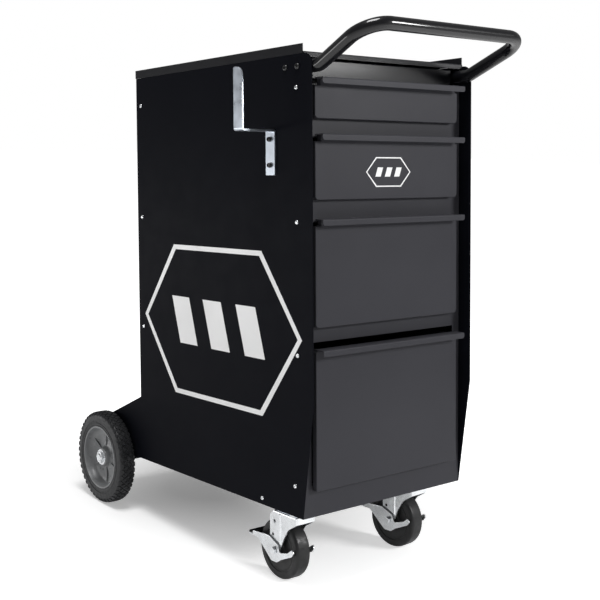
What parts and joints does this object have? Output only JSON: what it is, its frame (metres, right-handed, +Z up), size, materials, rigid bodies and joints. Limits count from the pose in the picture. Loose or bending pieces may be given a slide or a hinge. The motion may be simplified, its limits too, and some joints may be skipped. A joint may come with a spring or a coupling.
{
  "type": "welding cart",
  "caption": "Upright welding cart: drawers below an open top tray, push handle, side cable hook, braked swivel casters in front, large rear wheels and a gas bottle shelf.",
  "frame": {"origin": "on the floor, under the middle of the overall outline from above", "axes": "+Z up; -Y is the front, with the drawers and the push handle; +Y is the rear, with the bottle shelf; +X is the right-hand side of a person who faces the drawers. The cabinet leans back 3.38 degrees about X, as it stands on its wheels."},
  "size_m": [0.5158, 0.8911, 1.0266],
  "materials": {
    "panel_black": "satin near-black paint",
    "front_grey": "satin dark grey paint",
    "handle_black": "gloss black paint",
    "zinc": "bright zinc plate",
    "screw_black": "black oxide",
    "rubber_black": "dull black rubber",
    "tyre_black": "dull black rubber, blocks on the tread",
    "rim_grey": "grey moulded plastic"
  },
  "bodies": {
    "cart": {"axle_channel": "panel_black", "axle_nut_left": "zinc", "axle_nut_right": "zinc", "back_panel": "panel_black", "base_pan": "panel_black", "bottle_shelf": "panel_black", "cable_hook": "zinc", "caster_left_plate": "zinc", "caster_right_plate": "zinc", "drawer_1_slide_outer_left": "zinc", "drawer_1_slide_outer_right": "zinc", "drawer_2_slide_outer_left": "zinc", "drawer_2_slide_outer_right": "zinc", "drawer_3_slide_outer_left": "zinc", "drawer_3_slide_outer_right": "zinc", "drawer_4_slide_outer_left": "zinc", "drawer_4_slide_outer_right": "zinc", "face_frame": "front_grey", "handle_screw_left_1": "screw_black", "handle_screw_left_2": "screw_black", "handle_screw_right_1": "screw_black", "handle_screw_right_2": "screw_black", "hook_screw_1": "screw_black", "hook_screw_2": "screw_black", "push_handle": "handle_black", "rear_axle": "zinc", "side_panel_left": "panel_black", "side_panel_right": "panel_black", "top_rail": "handle_black", "top_tray": "panel_black"},
    "drawer_1": {"drawer_1_front": "front_grey", "drawer_1_box": "front_grey", "drawer_1_slide_inner_left": "zinc", "drawer_1_slide_inner_right": "zinc"},
    "drawer_2": {"drawer_2_front": "front_grey", "drawer_2_box": "front_grey", "drawer_2_slide_inner_left": "zinc", "drawer_2_slide_inner_right": "zinc"},
    "drawer_3": {"drawer_3_front": "front_grey", "drawer_3_box": "front_grey", "drawer_3_slide_inner_left": "zinc", "drawer_3_slide_inner_right": "zinc"},
    "drawer_4": {"drawer_4_front": "front_grey", "drawer_4_box": "front_grey", "drawer_4_slide_inner_left": "zinc", "drawer_4_slide_inner_right": "zinc"},
    "rear_wheel_left": {"rear_tyre_left": "tyre_black", "rear_rim_left": "rim_grey"},
    "caster_left_swivel": {"caster_left_fork": "zinc", "caster_left_bolt": "zinc"},
    "caster_left_wheel": {"caster_left_wheel": "rubber_black"},
    "caster_left_brake": {"caster_left_brake": "zinc"},
    "rear_wheel_right": {"rear_tyre_right": "tyre_black", "rear_rim_right": "rim_grey"},
    "caster_right_swivel": {"caster_right_fork": "zinc", "caster_right_bolt": "zinc"},
    "caster_right_wheel": {"caster_right_wheel": "rubber_black"},
    "caster_right_brake": {"caster_right_brake": "zinc"}
  },
  "joints": [
    {"name": "drawer_1_slide", "type": "slide", "parent": "cart", "child": "drawer_1", "axis": [0, -0.9983, 0.059], "range_m": [0, 0.34]},
    {"name": "drawer_2_slide", "type": "slide", "parent": "cart", "child": "drawer_2", "axis": [0, -0.9983, 0.059], "range_m": [0, 0.34]},
    {"name": "drawer_3_slide", "type": "slide", "parent": "cart", "child": "drawer_3", "axis": [0, -0.9983, 0.059], "range_m": [0, 0.34]},
    {"name": "drawer_4_slide", "type": "slide", "parent": "cart", "child": "drawer_4", "axis": [0, -0.9983, 0.059], "range_m": [0, 0.34]},
    {"name": "caster_left_swivel", "type": "hinge", "parent": "cart", "child": "caster_left_swivel", "pos_m": [-0.1307, -0.23504, 0.15104], "axis": [0, 0.059, 0.9983], "continuous": true},
    {"name": "caster_left_spin", "type": "hinge", "parent": "caster_left_swivel", "child": "caster_left_wheel", "pos_m": [-0.1307, -0.20753, 0.05715], "axis": [1, 0, 0], "continuous": true},
    {"name": "caster_left_brake_pedal", "type": "hinge", "parent": "caster_left_swivel", "child": "caster_left_brake", "pos_m": [-0.1307, -0.20753, 0.05715], "axis": [-1, 0, 0], "range_deg": [0, 15]},
    {"name": "rear_wheel_left_spin", "type": "hinge", "parent": "cart", "child": "rear_wheel_left", "pos_m": [-0.2059, 0.34405, 0.1016], "axis": [1, 0, 0], "continuous": true},
    {"name": "caster_right_swivel", "type": "hinge", "parent": "cart", "child": "caster_right_swivel", "pos_m": [0.1635, -0.23504, 0.15104], "axis": [0, 0.059, 0.9983], "continuous": true},
    {"name": "caster_right_spin", "type": "hinge", "parent": "caster_right_swivel", "child": "caster_right_wheel", "pos_m": [0.1612, -0.20761, 0.05715], "axis": [0.9976, 0.0696, -0.0041], "continuous": true},
    {"name": "caster_right_brake_pedal", "type": "hinge", "parent": "caster_right_swivel", "child": "caster_right_brake", "pos_m": [0.1612, -0.20761, 0.05715], "axis": [-0.9976, -0.0696, 0.0041], "range_deg": [0, 15]},
    {"name": "rear_wheel_right_spin", "type": "hinge", "parent": "cart", "child": "rear_wheel_right", "pos_m": [0.2387, 0.34405, 0.1016], "axis": [1, 0, 0], "continuous": true}
  ]
}
